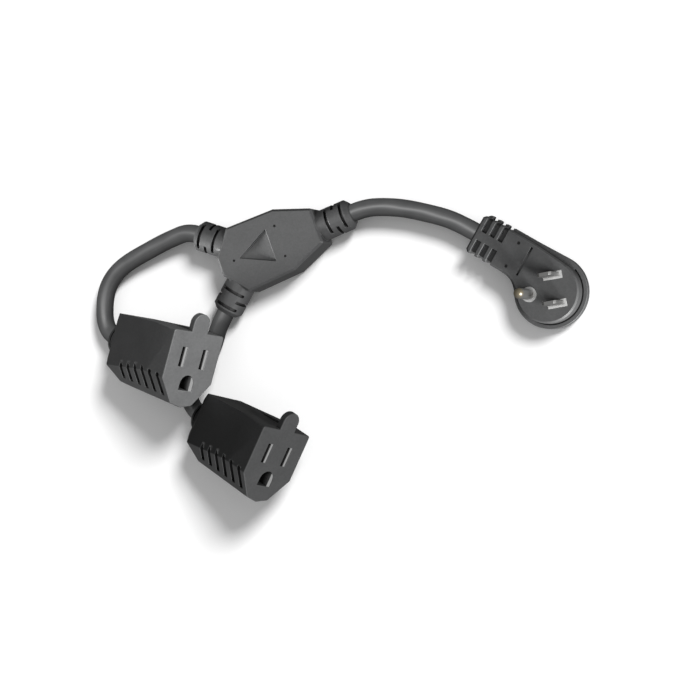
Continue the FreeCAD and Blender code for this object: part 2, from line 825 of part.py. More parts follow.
def build_contact(label, home, outer, grip, centre):
    """A spring contact: two leaves in its opening, one set further back, joined behind at a crimp barrel.

    The grip is where the gap between the leaves starts and ends across the opening."""
    low, high = centre[1] - BEYOND - d.slot_height / 2, centre[1] + BEYOND + d.slot_height / 2
    gap = rectangle(grip[0], low, grip[1], high)
    short = rectangle(centre[0] - BEYOND - d.ground_hole_width / 2, low, grip[1], high)
    body = new_body(label, home)
    swept(
        body, "Pad", draw(body, "XY_Plane", outer, -d.contact_recess),
        "sizes.slot_depth - sizes.contact_recess", back=True,
    )
    swept(
        body, "Pocket", draw(body, "XY_Plane", gap, -d.contact_recess),
        "sizes.slot_depth - sizes.contact_recess - sizes.contact_floor",
    )
    swept(body, "Pocket", draw(body, "XY_Plane", short, -d.contact_recess), "sizes.short_leaf_step")
    swept(
        body, "Pad", draw(body, "XY_Plane", circle(*centre, d.crimp_diameter / 2), -d.slot_depth),
        "sizes.crimp_length", back=True,
    )
    return body


def build_socket(which):
    """One socket: moulded body, inner carrier and three contacts."""
    home = socket_home(which)
    name = f"socket_{which}"
    contacts = []
    for label, side in (("line", 1), ("neutral", -1)):
        x = side * d.blade_spacing / 2
        near = x + d.blade_grip_offset - d.blade_grip / 2
        contacts.append(build_contact(
            f"{name}_contact_{label}", home, blade_slot(side), (near, near + d.blade_grip),
            (x, d.outlet_height),
        ))
    contacts.append(build_contact(
        f"{name}_contact_ground", home, ground_hole(), (-d.pin_grip / 2, d.pin_grip / 2),
        (0, d.outlet_height - d.ground_offset),
    ))
    blank = build_carrier(which, home)
    openings = new_body(f"{name}_openings", home)
    swept(openings, "Pad", draw(openings, "XY_Plane", outlet_openings()), "sizes.slot_depth", back=True)
    tools = joined(f"{name}_inside", openings, *contacts)
    carrier = cut(f"{name}_carrier", blank, tools)
    overmould = cut(
        f"{name}_overmould", build_socket_body(which, home), joined(f"{name}_filled", blank, *contacts)
    )
    return [overmould, carrier] + contacts


sockets = build_socket("a") + build_socket("b")


# Cords

def plug_exit():
    """Where the cord leaves the plug, and which way."""
    point = plug_home.multVec(Vector(d.neck_reach, -d.neck_offset, d.plug_thickness / 2))
    return point, plug_home.Rotation.multVec(Vector(1, 0, 0))


def relief_exit(which, length):
    """Where a cord leaves the junction, and which way."""
    home = relief_home(which)
    return home.multVec(Vector(length, 0, 0)), home.Rotation.multVec(Vector(1, 0, 0))


def socket_exit(which):
    """Where a cord leaves a socket's collar, and which way."""
    home = socket_home(which)
    point = home.multVec(Vector(0, 0, -d.socket_depth - d.collar_length))
    return point, home.Rotation.multVec(Vector(0, 0, -1))


ARC_SHARE = 0.45  # how much of the shorter run an arc takes up


def route(start, steps, end):
    """A cord's points: straight out of one piece, by hand-chosen points, straight into the other."""
    first, between, last = steps
    points = [start[0], start[0] + start[1] * first]
    points += [Vector(*point) for point in between]
    return points + [end[0] + end[1] * last, end[0]]


def build_cord(label, points):
    """A round cord along straight runs, with an arc at each point as large as the runs allow."""
    start = points[0]
    edges = []
    radii = []
    for before, here, after in zip(points, points[1:], points[2:]):
        back = (before - here).normalize()
        on = (after - here).normalize()
        half_turn = (math.pi - back.getAngle(on)) / 2
        reach = ARC_SHARE * min((before - here).Length, (after - here).Length)
        radius = reach / math.tan(half_turn)
        radii.append(radius)
        inner = here + (back + on).normalize() * (radius / math.cos(half_turn) - radius)
        edges.append(Part.LineSegment(start, here + back * reach).toShape())
        edges.append(Part.Arc(here + back * reach, inner, here + on * reach).toShape())
        start = here + on * reach
    edges.append(Part.LineSegment(start, points[-1]).toShape())
    path = Part.Wire(edges)
    section = Part.Wire(Part.makeCircle(d.cord_diameter / 2, points[0], points[1] - points[0]))
    cord = doc.addObject("Part::Feature", label)
    cord.Shape = path.makePipeShell([section], True, False)
    expected = math.pi * d.cord_diameter ** 2 / 4 * path.Length
    print(label, "length", round(path.Length, 1), "volume share", round(cord.Shape.Volume / expected, 4))
    print(label, "radii", [round(radius, 1) for radius in radii])
    return cord


# Each route is its straight start, its points and its straight end
MAIN_ROUTE = (19.1, [(-62.3, 40.7, 6.5), (-72.9, 42.0, 6.9)], 9.8)
BRANCH_A_ROUTE = (9.4, [
    (-187.8, 30.6, 6.8), (-196.4, 26.7, 6.3), (-203.4, 20.5, 5.8), (-211.9, 11.4, 5.4), (-216.5, 3.5, 5.1),
    (-219.3, -4.4, 4.9), (-220.7, -13.0, 4.8),
], 7.0)
BRANCH_B_ROUTE = (7.8, [
    (-162.8, -23.5, 4.9), (-166.5, -30.8, 4.5), (-172.6, -38.0, 4.5), (-176.2, -44.9, 4.5),
    (-175.1, -51.6, 4.5),
], 5.5)

cords = [
    build_cord("main_cord", route(plug_exit(), MAIN_ROUTE, relief_exit("main", d.relief_nose_length))),
    build_cord("branch_cord_a", route(relief_exit("a", d.relief_length), BRANCH_A_ROUTE, socket_exit("a"))),
    build_cord("branch_cord_b", route(relief_exit("b", d.relief_length), BRANCH_B_ROUTE, socket_exit("b"))),
]


# Check and write every piece

doc.recompute()
pieces = [plug_overmould, plug_bridge, *prongs, junction_overmould, junction_core, *splices, *sockets, *cords]
failed = [o.Name for o in doc.Objects if "Invalid" in o.State or "Error" in o.State]
if failed:
    raise RuntimeError(f"these objects failed: {failed}")
for piece in pieces:
    if piece.Shape.isNull() or not piece.Shape.isValid() or not piece.Shape.Solids:
        raise RuntimeError(f"{piece.Label} has no valid solid")

os.makedirs("parts", exist_ok=True)
for piece in pieces:
    piece.Shape.exportStep(f"parts/{piece.Label}.step")
    box = piece.Shape.BoundBox
    print(
        f"{piece.Label}: {len(piece.Shape.Solids)} solid, {piece.Shape.Volume:.0f} mm3, "
        f"x {box.XMin:.1f} to {box.XMax:.1f}, y {box.YMin:.1f} to {box.YMax:.1f}, "
        f"z {box.ZMin:.2f} to {box.ZMax:.2f}"
    )
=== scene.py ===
# %% [markdown]
# # A splitter cord with a flat plug
# The object is a short black power cord. A flat plug with three prongs starts it, a flat
# Y-shaped junction divides it, and two branches end in small sockets with a pull tab. The
# CAD frame already holds every solid at its true size. This notebook gives the frame its
# camera, light and finishes, eases the edges that a mould leaves slightly round, and lays
# smooth cords on or close beside the CAD ones.

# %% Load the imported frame
import math

import bmesh
import bpy
import numpy as np
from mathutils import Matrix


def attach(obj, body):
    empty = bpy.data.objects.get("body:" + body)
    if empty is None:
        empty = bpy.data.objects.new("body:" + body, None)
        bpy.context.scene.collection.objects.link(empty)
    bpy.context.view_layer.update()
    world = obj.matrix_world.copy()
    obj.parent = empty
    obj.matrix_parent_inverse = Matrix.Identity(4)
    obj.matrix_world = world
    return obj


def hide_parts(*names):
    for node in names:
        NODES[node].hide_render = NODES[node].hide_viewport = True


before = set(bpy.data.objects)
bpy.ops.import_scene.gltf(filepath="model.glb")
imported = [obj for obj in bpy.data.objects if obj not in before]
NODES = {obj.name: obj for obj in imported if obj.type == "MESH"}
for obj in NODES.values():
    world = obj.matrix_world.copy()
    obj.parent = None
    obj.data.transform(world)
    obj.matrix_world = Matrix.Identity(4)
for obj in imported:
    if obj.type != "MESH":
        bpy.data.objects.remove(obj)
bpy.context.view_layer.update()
MM = 0.001
print("nodes in the frame:", len(NODES))

# %% [markdown]
# ## The camera
# The picture was taken from above with a long lens, leaning a little to the right, so the
# sockets' faces turn towards us. A lens of about 100 mm stands 0.9 m from a point on the
# floor in the middle of the cord. Its up side is the frame's +Y, so one turn about Y does.

# %% Place the camera
AIM = np.array([-96.4, -26.1, 0.0]) * MM
LEAN = math.radians(19.0)
DISTANCE = 0.9
FOCAL_PIXELS = 1935.0
PICTURE_PIXELS = 700.0
SENSOR_MM = 36.0

lens = bpy.data.cameras.new("viewpoint")
lens.sensor_width = SENSOR_MM
lens.lens = SENSOR_MM * FOCAL_PIXELS / PICTURE_PIXELS
camera = bpy.data.objects.new("viewpoint", lens)
camera.location = AIM + DISTANCE * np.array([math.sin(LEAN), 0.0, math.cos(LEAN)])
camera.rotation_euler = (0.0, LEAN, 0.0)
scene = bpy.context.scene
scene.collection.objects.link(camera)
scene.camera = camera
print("lens", round(lens.lens, 1), "mm")

# %% [markdown]
# ## Mixing finishes
# A finish is a small network of shader nodes. Writing it as sums and products keeps it
# readable, so `Reading` stands for a number that changes over a surface and its operators
# add Math nodes. `Finish` holds one material and adds any other node with a single method.

# %% Shader helpers
class Reading:
    """A value on a surface. Arithmetic with it adds Math nodes to its finish."""

    def __init__(self, finish, socket):
        self.finish = finish
        self.socket = socket

    def maths(self, operation, *inputs):
        settings = {"operation": operation}
        return self.finish.node("ShaderNodeMath", settings, dict(enumerate(inputs)))

    def __add__(self, other):
        return self.maths("ADD", self, other)

    def __sub__(self, other):
        return self.maths("SUBTRACT", self, other)

    def __rsub__(self, other):
        return self.maths("SUBTRACT", other, self)

    def __mul__(self, other):
        return self.maths("MULTIPLY", self, other)

    def __truediv__(self, other):
        return self.maths("DIVIDE", self, other)

    __radd__ = __add__
    __rmul__ = __mul__


class Finish:
    """One material: fixed values go on the shader, and what varies is linked to it."""

    def __init__(self, name, **fixed):
        self.material = bpy.data.materials.new(name)
        self.material.use_nodes = True
        self.tree = self.material.node_tree
        self.shader = self.tree.nodes["Principled BSDF"]
        for label, value in fixed.items():
            self.shader.inputs[label.replace("_", " ")].default_value = value

    def node(self, kind, settings, inputs, output=0):
        """A new node: its settings first, then numbers, colours or readings on its sockets."""
        made = self.tree.nodes.new(kind)
        for label, value in settings.items():
            if label == "stops":
                self.set_stops(made.color_ramp.elements, value)
            else:
                setattr(made, label, value)
        for key, value in inputs.items():
            self.feed(made.inputs[key], value)
        return Reading(self, made.outputs[output])

    def set_stops(self, elements, stops):
        """Gives a ramp its stops, each a place and a colour."""
        while len(elements) < len(stops):
            elements.new(1.0)
        for element, (place, colour) in zip(elements, stops):
            element.position = place
            element.color = colour

    def feed(self, socket, value):
        """Links a reading to a socket, or sets a plain value on it."""
        if isinstance(value, Reading):
            self.tree.links.new(value.socket, socket)
        else:
            socket.default_value = value

    def vary(self, **readings):
        """Links what changes over the surface to the shader."""
        for label, reading in readings.items():
            self.feed(self.shader.inputs[label.replace("_", " ")], reading)

    def place(self, kind="Object"):
        """Coordinates on the piece, in metres, or its own UV map."""
        return self.node("ShaderNodeTexCoord", {}, {}, kind)

    def noise(self, size_mm, detail=2.0, stretch=(1.0, 1.0, 1.0), kind="Object"):
        """Soft noise whose lumps are about size_mm across, stretched by the given factors."""
        scale = tuple(1.0 / (size_mm * MM * s) for s in stretch)
        placed = self.node("ShaderNodeMapping", {}, {"Vector": self.place(kind), "Scale": scale})
        return self.node("ShaderNodeTexNoise", {}, {"Vector": placed, "Scale": 1.0, "Detail": detail})

    def ramp(self, reading, *stops):
        """A grey ramp: each stop is a place and a level."""
        levels = [(place, (level, level, level, 1.0)) for place, level in stops]
        return self.node("ShaderNodeValToRGB", {"stops": levels}, {"Fac": reading})

    def blend(self, amount, first, second):
        """A colour between two others."""
        inputs = {0: amount, 6: first, 7: second}
        return self.node("ShaderNodeMix", {"data_type": "RGBA"}, inputs, 2)

    def openness(self, reach_mm, alone=True):
        """1 on an open wall and less in a pit or slot that is narrower than the reach."""
        settings = {"only_local": alone, "samples": 8}
        inputs = {"Distance": reach_mm * MM}
        return self.node("ShaderNodeAmbientOcclusion", settings, inputs, "AO")

    def bump(self, height, depth_mm):
        """A bump from a height of 0 to 1 that stands depth_mm proud."""
        inputs = {"Strength": 1.0, "Distance": depth_mm * MM, "Height": height}
        return self.node("ShaderNodeBump", {}, inputs)


def grey(level, warmth=0.0):
    """A linear grey, a touch warmer or cooler."""
    return (level * (1.0 + warmth), level, level * (1.0 - warmth), 1.0)

# %% [markdown]
# ## The moulded vinyl
# Plug, junction and sockets are dark grey PVC from one kind of tool. Its spark-eroded wall
# leaves a fine grain, here two noises of about a third of a millimetre and 1.1 mm that
# feed the bump and a faint mottle. Slow noise changes the gloss from place to place, as
# handling does. Little light gets into a slot, ring groove or pit, so an Ambient Occlusion
# node finds the narrow places and darkens their base colour there, a painted shade. The
# junction's wall has the deepest grain. The plug's slots and marks are shallow, so there
# the node looks less far. The eased edges get their own, slightly lighter and smoother
# finish, because that is where such a part rubs.

# %% Finishes of the moulded pieces
VINYL_GREY = 0.078
RUBBED_GREY = 0.1
INNER_GREY = 0.03
COOL = -0.01
GRAIN_SIZE_MM = 0.32
PEBBLE_SIZE_MM = 1.1
CLOUD_SIZE_MM = 9.0
DEEP_PIT_MM = 3.2
SHALLOW_PIT_MM = 1.1


def moulded_vinyl(name, level, gloss, grain_mm=0.035, pit_mm=DEEP_PIT_MM):
    """Dark moulded vinyl: fine grain in the bump, mottle in the colour and the gloss, and painted
    shade in narrow pits.
    """
    vinyl = Finish(name, IOR=1.47)
    grain = vinyl.noise(GRAIN_SIZE_MM, 3.0)
    pebble = vinyl.noise(PEBBLE_SIZE_MM, 2.0)
    cloud = vinyl.noise(CLOUD_SIZE_MM, 3.0)
    mottle = grain * 0.45 + pebble * 0.3 + cloud * 0.25
    spread = vinyl.ramp(mottle, (0.36, 0.0), (0.64, 1.0))
    skin = vinyl.blend(spread, grey(level * 0.84, COOL), grey(level * 1.16, COOL))
    # Painted shade: the base colour goes nearly black where the Ambient Occlusion finds a narrow slot
    # or pit.
    painted_pit_shade = vinyl.ramp(vinyl.openness(pit_mm), (0.42, 0.0), (0.82, 1.0))
    vinyl.vary(
        Base_Color=vinyl.blend(painted_pit_shade, grey(level * 0.08), skin),
        Roughness=cloud * 0.14 + pebble * 0.08 + (gloss - 0.11),
        Normal=vinyl.bump(grain * 0.6 + pebble * 0.4, grain_mm),
    )
    return vinyl.material


body_vinyl = moulded_vinyl("moulded_vinyl", VINYL_GREY, 0.52)
grained_vinyl = moulded_vinyl("junction_vinyl", VINYL_GREY, 0.5, grain_mm=0.075)
plug_vinyl = moulded_vinyl("plug_vinyl", VINYL_GREY, 0.52, pit_mm=SHALLOW_PIT_MM)
edge_vinyl = moulded_vinyl("rubbed_vinyl", RUBBED_GREY, 0.42, 0.012, SHALLOW_PIT_MM)
inner_vinyl = moulded_vinyl("inner_block_vinyl", INNER_GREY, 0.6)
print("moulded finishes:", body_vinyl.name, grained_vinyl.name, plug_vinyl.name)

# %% [markdown]
# ## The jacket of the cords
# A round jacket is extruded, so its marks run lengthwise: fine draw lines and a satin
# skin. The pattern reads the tube's own UV map, in millimetres along and around, and so
# follows every bend. Three insulated cores twist inside and show as a faint swell of the
# skin, which the tube's geometry has.

# %% Finish of the cords
JACKET_DARK = 0.062
JACKET_LIGHT = 0.084
DRAW_LINE = (40.0, 0.35, 1.0)


def jacket_vinyl():
    """Satin extruded vinyl with draw lines along the cord."""
    skin = Finish("jacket_vinyl", IOR=1.48)
    lines = skin.noise(1.0, 2.0, DRAW_LINE, "UV")
    cloud = skin.noise(7.0, 2.0)
    spread = skin.ramp(lines * 0.6 + cloud * 0.4, (0.35, 0.0), (0.65, 1.0))
    skin.vary(
        Base_Color=skin.blend(spread, grey(JACKET_DARK, COOL), grey(JACKET_LIGHT, COOL)),
        Roughness=cloud * 0.1 + lines * 0.08 + 0.36,
        Normal=skin.bump(lines, 0.012),
    )
    return skin.material


cord_vinyl = jacket_vinyl()
print("cord finish:", cord_vinyl.name)

# %% [markdown]
# ## The metals
# The prongs are nickel over brass. They rub against an outlet's contacts lengthwise, so
# the scratches are noise drawn out along Z, and the plating is thinnest at the ground
# pin's dome, where the brass begins to show. The sockets' contacts are plain plated strip,
# duller than the prongs. Behind the openings their colour fades to near black, a painted
# shade, and the Ambient Occlusion node tells how deep they are, this time with the pieces round them.

# %% Finishes of the prongs and contacts
NICKEL = (0.56, 0.56, 0.55, 1.0)
NICKEL_WORN = (0.45, 0.44, 0.42, 1.0)
BRASS = (0.62, 0.54, 0.38, 1.0)
BRASS_WORN = (0.55, 0.4, 0.18, 1.0)
STRIP = (0.5, 0.5, 0.5, 1.0)
STRIP_WORN = (0.4, 0.39, 0.38, 1.0)
DOME_Z = 30.6 * MM
DOME_FADE = 1.6 * MM
SCRATCH_MM = 0.28
ALONG_Z = (1.0, 1.0, 22.0)
SOCKET_DEPTH_MM = 12.0
PAINTED_SHADE_GREY = 0.012


def plated(name, base, worn, gloss, metallic, wear_height=None, painted_slot_shade=False):
    """Plated metal with lengthwise scratches, worn above wear_height, and darkened deep in a slot as
    painted shade when asked.
    """
    metal = Finish(name, Metallic=metallic)
    scratches = metal.noise(SCRATCH_MM, 3.0, ALONG_Z)
    cloud = metal.noise(3.0, 2.0)
    amount = metal.ramp(cloud, (0.5, 0.0), (0.75, 0.35))
    if wear_height is not None:
        split = metal.node("ShaderNodeSeparateXYZ", {}, {"Vector": metal.place()}, "Z")
        rise = metal.node("ShaderNodeClamp", {}, {"Value": (split - wear_height) / DOME_FADE})
        amount = metal.node("ShaderNodeClamp", {}, {"Value": amount + rise * cloud * 1.6})
    tone = metal.blend(amount, base, worn)
    if painted_slot_shade:
        # Painted shade: deep behind a socket's opening the strip's colour fades to near black.
        daylight = metal.ramp(metal.openness(SOCKET_DEPTH_MM, False), (0.18, 0.0), (0.42, 1.0))
        tone = metal.blend(daylight, grey(PAINTED_SHADE_GREY), tone)
    metal.vary(
        Base_Color=tone,
        Roughness=scratches * 0.2 + cloud * 0.08 + gloss,
        Normal=metal.bump(scratches, 0.006),
    )
    return metal.material


blade_metal = plated("nickel_plate", NICKEL, NICKEL_WORN, 0.26, 0.75)
pin_metal = plated("nickel_plate_worn", NICKEL, BRASS, 0.22, 0.75, DOME_Z)
contact_metal = plated("contact_strip", STRIP, STRIP_WORN, 0.48, 0.8, painted_slot_shade=True)
splice_brass = plated("splice_brass", BRASS, BRASS_WORN, 0.12, 1.0)
print("metals:", blade_metal.name, pin_metal.name, contact_metal.name, splice_brass.name)

# %% [markdown]
# ## The prong holder
# A stiff bridge of pale nylon holds the three prongs, and its bosses show as a light
# collar round each. Nylon has a soft gloss and a faint cloudiness.

# %% Finish of the prong holder
NYLON_DARK = (0.38, 0.38, 0.38, 1.0)
NYLON_LIGHT = (0.5, 0.5, 0.49, 1.0)


def pale_nylon():
    """Pale nylon with a faint cloud."""
    nylon = Finish("pale_nylon", IOR=1.53)
    cloud = nylon.noise(1.6, 3.0)
    nylon.vary(
        Base_Color=nylon.blend(cloud, NYLON_DARK, NYLON_LIGHT),
        Roughness=cloud * 0.2 + 0.3,
        Normal=nylon.bump(cloud, 0.01),
    )
    return nylon.material


bridge_nylon = pale_nylon()
print("holder finish:", bridge_nylon.name)

# %% [markdown]
# ## Easing the edges
# A sharp CAD edge catches no light, while the real moulding has a radius of a few tenths
# of a millimetre everywhere. Each moulding, each prong and the prong holder is copied,
# its loose triangles are welded, flat areas are joined into single faces, and a Bevel
# rounds each edge that turns by more than 30 degrees between two walls of some size. Tiny
# pits stay sharp, because a strip as wide as their own facets would fold over. The new
# strips take the rubbed finish. Where two large walls meet at a slight angle, as at the
# knee behind a socket's face, the edge is marked sharp for the shading, or the knee would look like a
# swelling.
# The copy replaces its CAD node in the picture only.

# %% A copy with eased edges
WELD = 0.5e-6
FLAT_TURN = math.radians(0.6)
EDGE_TURN = math.radians(30.0)
LEAST_WALL = 1.5 * MM * MM
KNEE_TURN = math.radians(4.0)
LARGE_WALL = 150.0 * MM * MM
SMOOTH_TURN = math.radians(28.0)
STRIPS_PER_EDGE = 2
LARGE_FACES_FIRST = 100
MOULD_EDGE_MM = 0.2
PRONG_EDGE_MM = 0.12
HOLDER_EDGE_MM = 0.1


def eased(node, finishes, width_mm):
    """A welded copy of a CAD node with rounded edges, which stands for it."""
    shell = bmesh.new()
    shell.from_mesh(NODES[node].data)
    bmesh.ops.remove_doubles(shell, verts=shell.verts, dist=WELD)
    bmesh.ops.dissolve_limit(shell, angle_limit=FLAT_TURN, verts=shell.verts, edges=shell.edges)
    open_edges = sum(not edge.is_manifold for edge in shell.edges)
    weight = shell.edges.layers.float.new("bevel_weight_edge")
    shell.edges.ensure_lookup_table()
    knees = np.zeros(len(shell.edges), dtype=bool)
    for number, edge in enumerate(shell.edges):
        smallest = min(face.calc_area() for face in edge.link_faces)
        knees[number] = smallest > LARGE_WALL and edge.calc_face_angle(0.0) > KNEE_TURN
        if smallest > LEAST_WALL and edge.calc_face_angle(0.0) > EDGE_TURN:
            edge[weight] = 1.0
    mesh = bpy.data.meshes.new(node + "_eased")
    shell.to_mesh(mesh)
    shell.free()
    for attribute in ("custom_normal", "sharp_face", "sharp_edge"):
        if attribute in mesh.attributes:
            mesh.attributes.remove(mesh.attributes[attribute])
    piece = bpy.data.objects.new(node + "_eased", mesh)
    scene.collection.objects.link(piece)
    mesh.materials.clear()
    for finish in finishes:
        mesh.materials.append(finish)
    mesh.polygons.foreach_set("material_index", np.zeros(len(mesh.polygons), dtype=np.int32))
    mesh.shade_smooth()
    mesh.set_sharp_from_angle(angle=SMOOTH_TURN)
    sharp = mesh.attributes.get("sharp_edge")
    if sharp is None:
        sharp = mesh.attributes.new("sharp_edge", "BOOLEAN", "EDGE")
    crisp = np.zeros(len(mesh.edges), dtype=bool)
    sharp.data.foreach_get("value", crisp)
    sharp.data.foreach_set("value", crisp | knees)
    bevel = piece.modifiers.new("eased_edges", "BEVEL")
    bevel.width = width_mm * MM
    bevel.segments = STRIPS_PER_EDGE
    bevel.limit_method = "WEIGHT"
    bevel.use_clamp_overlap = False
    bevel.material = len(finishes) - 1
    bevel.miter_outer = "MITER_ARC"
    weighted = piece.modifiers.new("flat_faces_stay_flat", "WEIGHTED_NORMAL")
    weighted.weight = LARGE_FACES_FIRST
    weighted.keep_sharp = True
    graph = bpy.context.evaluated_depsgraph_get()
    finished = bpy.data.meshes.new_from_object(piece.evaluated_get(graph))
    piece.modifiers.clear()
    piece.data = finished
    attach(piece, "root")
    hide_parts(node)
    print(node, "open edges", open_edges, "knees", knees.sum(), "faces", len(finished.polygons))


MOULDINGS = {
    "plug_overmould": plug_vinyl,
    "junction_overmould": grained_vinyl,
    "socket_a_overmould": body_vinyl,
    "socket_b_overmould": body_vinyl,
}
PRONGS = {"blade_line": blade_metal, "blade_neutral": blade_metal, "ground_pin": pin_metal}
for node, vinyl in MOULDINGS.items():
    eased(node, (vinyl, edge_vinyl), MOULD_EDGE_MM)
for node, metal in PRONGS.items():
    eased(node, (metal,), PRONG_EDGE_MM)
eased("plug_bridge", (bridge_nylon,), HOLDER_EDGE_MM)

# %% [markdown]
# ## The cords
# Each cord is one fixed length of a stiff 8.4 mm jacket. It leaves one piece straight,
# bends in the plane of the floor and enters the next piece straight. A route's points are
# the control points of a NURBS spline, and a tube of rings follows the points that Blender
# reads from it. A ring point is the centre plus the radius times (cos a, sin a) along two
# directions across the path, and three shallow lobes that turn once every 55 mm are the
# cores' swell.

# %% Tubes along a route
CORD_DIAMETER = 8.4
LAY_LENGTH = 55.0
LOBE_MM = 0.05
LOBE_FADE_MM = 8.0
RING_SIDES = 64
SPLINE_STEPS = 24
CAP_TURN = math.radians(50.0)


def spline_points(name, route_mm):
    """The smooth path, in metres, of a NURBS spline through a route's control points."""
    curve = bpy.data.curves.new(name + "_route", "CURVE")
    curve.dimensions = "3D"
    curve.resolution_u = SPLINE_STEPS
    line = curve.splines.new("NURBS")
    line.points.add(len(route_mm) - 1)
    control = np.ones((len(route_mm), 4))
    control[:, :3] = np.array(route_mm) * MM
    line.points.foreach_set("co", control.ravel())
    line.order_u = 3
    line.use_endpoint_u = True
    holder = bpy.data.objects.new(name + "_route", curve)
    mesh = bpy.data.meshes.new_from_object(holder)
    path = np.empty(len(mesh.vertices) * 3)
    mesh.vertices.foreach_get("co", path)
    bpy.data.objects.remove(holder)
    bpy.data.curves.remove(curve)
    bpy.data.meshes.remove(mesh)
    return path.reshape(-1, 3)


def grid_mesh(name, points, uv, finish):
    """A closed tube mesh from rings of points, with a pole at each end and a UV map."""
    rings, sides = points.shape[:2]
    ring = np.arange(rings - 1)[:, None] * sides
    here = np.arange(sides)[None, :]
    after = (here + 1) % sides
    quads = np.stack([ring + here, ring + after, ring + sides + after, ring + sides + here], -1)
    first_pole = rings * sides
    turn = np.arange(sides)
    start_cap = np.stack([np.full(sides, first_pole), (turn + 1) % sides, turn], -1)
    last = (rings - 1) * sides
    end_cap = np.stack([np.full(sides, first_pole + 1), last + turn, last + (turn + 1) % sides], -1)
    poles = np.stack([points[0].mean(0), points[-1].mean(0)])
    corners = np.concatenate([points.reshape(-1, 3), poles])
    mesh = bpy.data.meshes.new(name)
    faces = quads.reshape(-1, 4).tolist() + start_cap.tolist() + end_cap.tolist()
    mesh.from_pydata(corners.tolist(), [], faces)
    along = uv[0][:, None] + np.zeros(sides)
    around = np.linspace(0.0, uv[1], sides + 1)
    low = np.broadcast_to(around[:-1], (rings, sides))
    high = np.broadcast_to(around[1:], (rings, sides))
    quad_uv = np.stack([
        np.stack([along[:-1], low[:-1]], -1), np.stack([along[:-1], high[:-1]], -1),
        np.stack([along[1:], high[1:]], -1), np.stack([along[1:], low[1:]], -1),
    ], 2)
    cap_uv = np.zeros((2 * sides * 3, 2))
    layer = mesh.uv_layers.new(name="jacket")
    layer.uv.foreach_set("vector", np.concatenate([quad_uv.reshape(-1, 2), cap_uv]).ravel())
    mesh.materials.append(finish)
    mesh.shade_smooth()
    mesh.set_sharp_from_angle(angle=CAP_TURN)
    return mesh


def cord_tube(name, path, finish):
    """A round skin along a path: centre + r(a, s) (cos a across + sin a over)."""
    tangent = np.gradient(path, axis=0)
    tangent /= np.linalg.norm(tangent, axis=1, keepdims=True)
    across = np.cross(tangent, (0.0, 0.0, 1.0))
    across /= np.linalg.norm(across, axis=1, keepdims=True)
    over = np.cross(across, tangent)
    steps = np.linalg.norm(np.diff(path, axis=0), axis=1)
    run = np.concatenate([[0.0], np.cumsum(steps)])
    angle = np.linspace(0.0, 2 * math.pi, RING_SIDES, endpoint=False)
    lobes = np.cos(3 * (angle[None, :] - 2 * math.pi * run[:, None] / (LAY_LENGTH * MM)))
    fade = np.minimum(1.0, np.minimum(run, run[-1] - run) / (LOBE_FADE_MM * MM))
    radius = (CORD_DIAMETER / 2 + LOBE_MM * (lobes - 1.0) * fade[:, None]) * MM
    sideways = np.cos(angle)[None, :, None] * across[:, None]
    upwards = np.sin(angle)[None, :, None] * over[:, None]
    circle = sideways + upwards
    points = path[:, None] + radius[:, :, None] * circle
    mesh = grid_mesh(name, points, (run, math.pi * CORD_DIAMETER * MM), finish)
    tube = bpy.data.objects.new(name, mesh)
    scene.collection.objects.link(tube)
    print(name, "path length", round(run[-1] / MM, 1), "mm")
    return tube

# %% [markdown]
# The photograph shows each cord from end to end, so the lengths that it shows are the
# whole of them: 63 mm from the plug's neck to the junction's nose, and 90 mm and 60 mm
# from the junction to the sockets. The routes start from those of the CAD solids and
# keep their ends. The points between were moved by a few millimetres on the main
# cord and on the first branch, until the cords lay on the photographed ones.

# %% Lay the three cords
ROUTES = {
    "main_cord": [
        (-33.17, 26.54, 6.25), (-42.10, 31.70, 6.25), (-52.6, 35.2, 6.4), (-64.4, 38.1, 6.6),
        (-76.6, 39.7, 7.1), (-87.00, 39.15, 7.5), (-92.60, 37.00, 7.5),
    ],
    "branch_cord_a": [
        (-169.50, 28.45, 7.5), (-174.80, 30.15, 7.5), (-184.2, 26.8, 6.9), (-194.0, 22.5, 6.4),
        (-203.6, 17.9, 5.9), (-212.6, 12.4, 5.5), (-217.9, 5.6, 5.1), (-220.1, -2.9, 4.9),
        (-220.1, -12.6, 4.8), (-215.59, -19.54, 5.91), (-209.50, -21.32, 8.87),
    ],
    "branch_cord_b": [
        (-155.47, -8.11, 7.5), (-159.40, -14.85, 7.5), (-162.8, -23.5, 4.9), (-166.5, -30.8, 4.5),
        (-172.6, -38.0, 4.5), (-176.2, -44.9, 4.5), (-175.1, -51.6, 4.5), (-171.45, -55.77, 4.74),
        (-166.96, -57.92, 7.07),
    ],
}


for cord_name, route in ROUTES.items():
    path = spline_points(cord_name, route)
    tube = cord_tube(cord_name + "_jacket", path, cord_vinyl)
    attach(tube, "root")
    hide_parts(cord_name)

# %% [markdown]
# ## The pieces inside
# The carriers, the junction's core and the splices lie inside the mouldings. Only the
# contacts show, as bright strip behind the slots. They keep their CAD shape and get the
# finish of their kind.

# %% Finish the CAD nodes that stay
KINDS = {
    "_carrier": inner_vinyl,
    "_core": inner_vinyl,
    "splice_": splice_brass,
    "_contact_": contact_metal,
}
for name, node in NODES.items():
    for word, finish in KINDS.items():
        if word in name:
            node.data.materials.clear()
            node.data.materials.append(finish)
print("finished", sum(any(word in name for word in KINDS) for name in NODES), "inner nodes")

# %% [markdown]
# ## Floor and light
# The picture is a catalogue one on white, with a soft grey shadow that falls to the
# lower left. A wide sun from the upper right gives that shadow, which only the mouldings
# and the cords throw, and a second, very wide one from straight above keeps it from going
# black. Only the floor receives the two. The object has soft panels of its own. The room
# itself is dim, and the floor sends no light back, so that the walls which turn away stay
# dark.

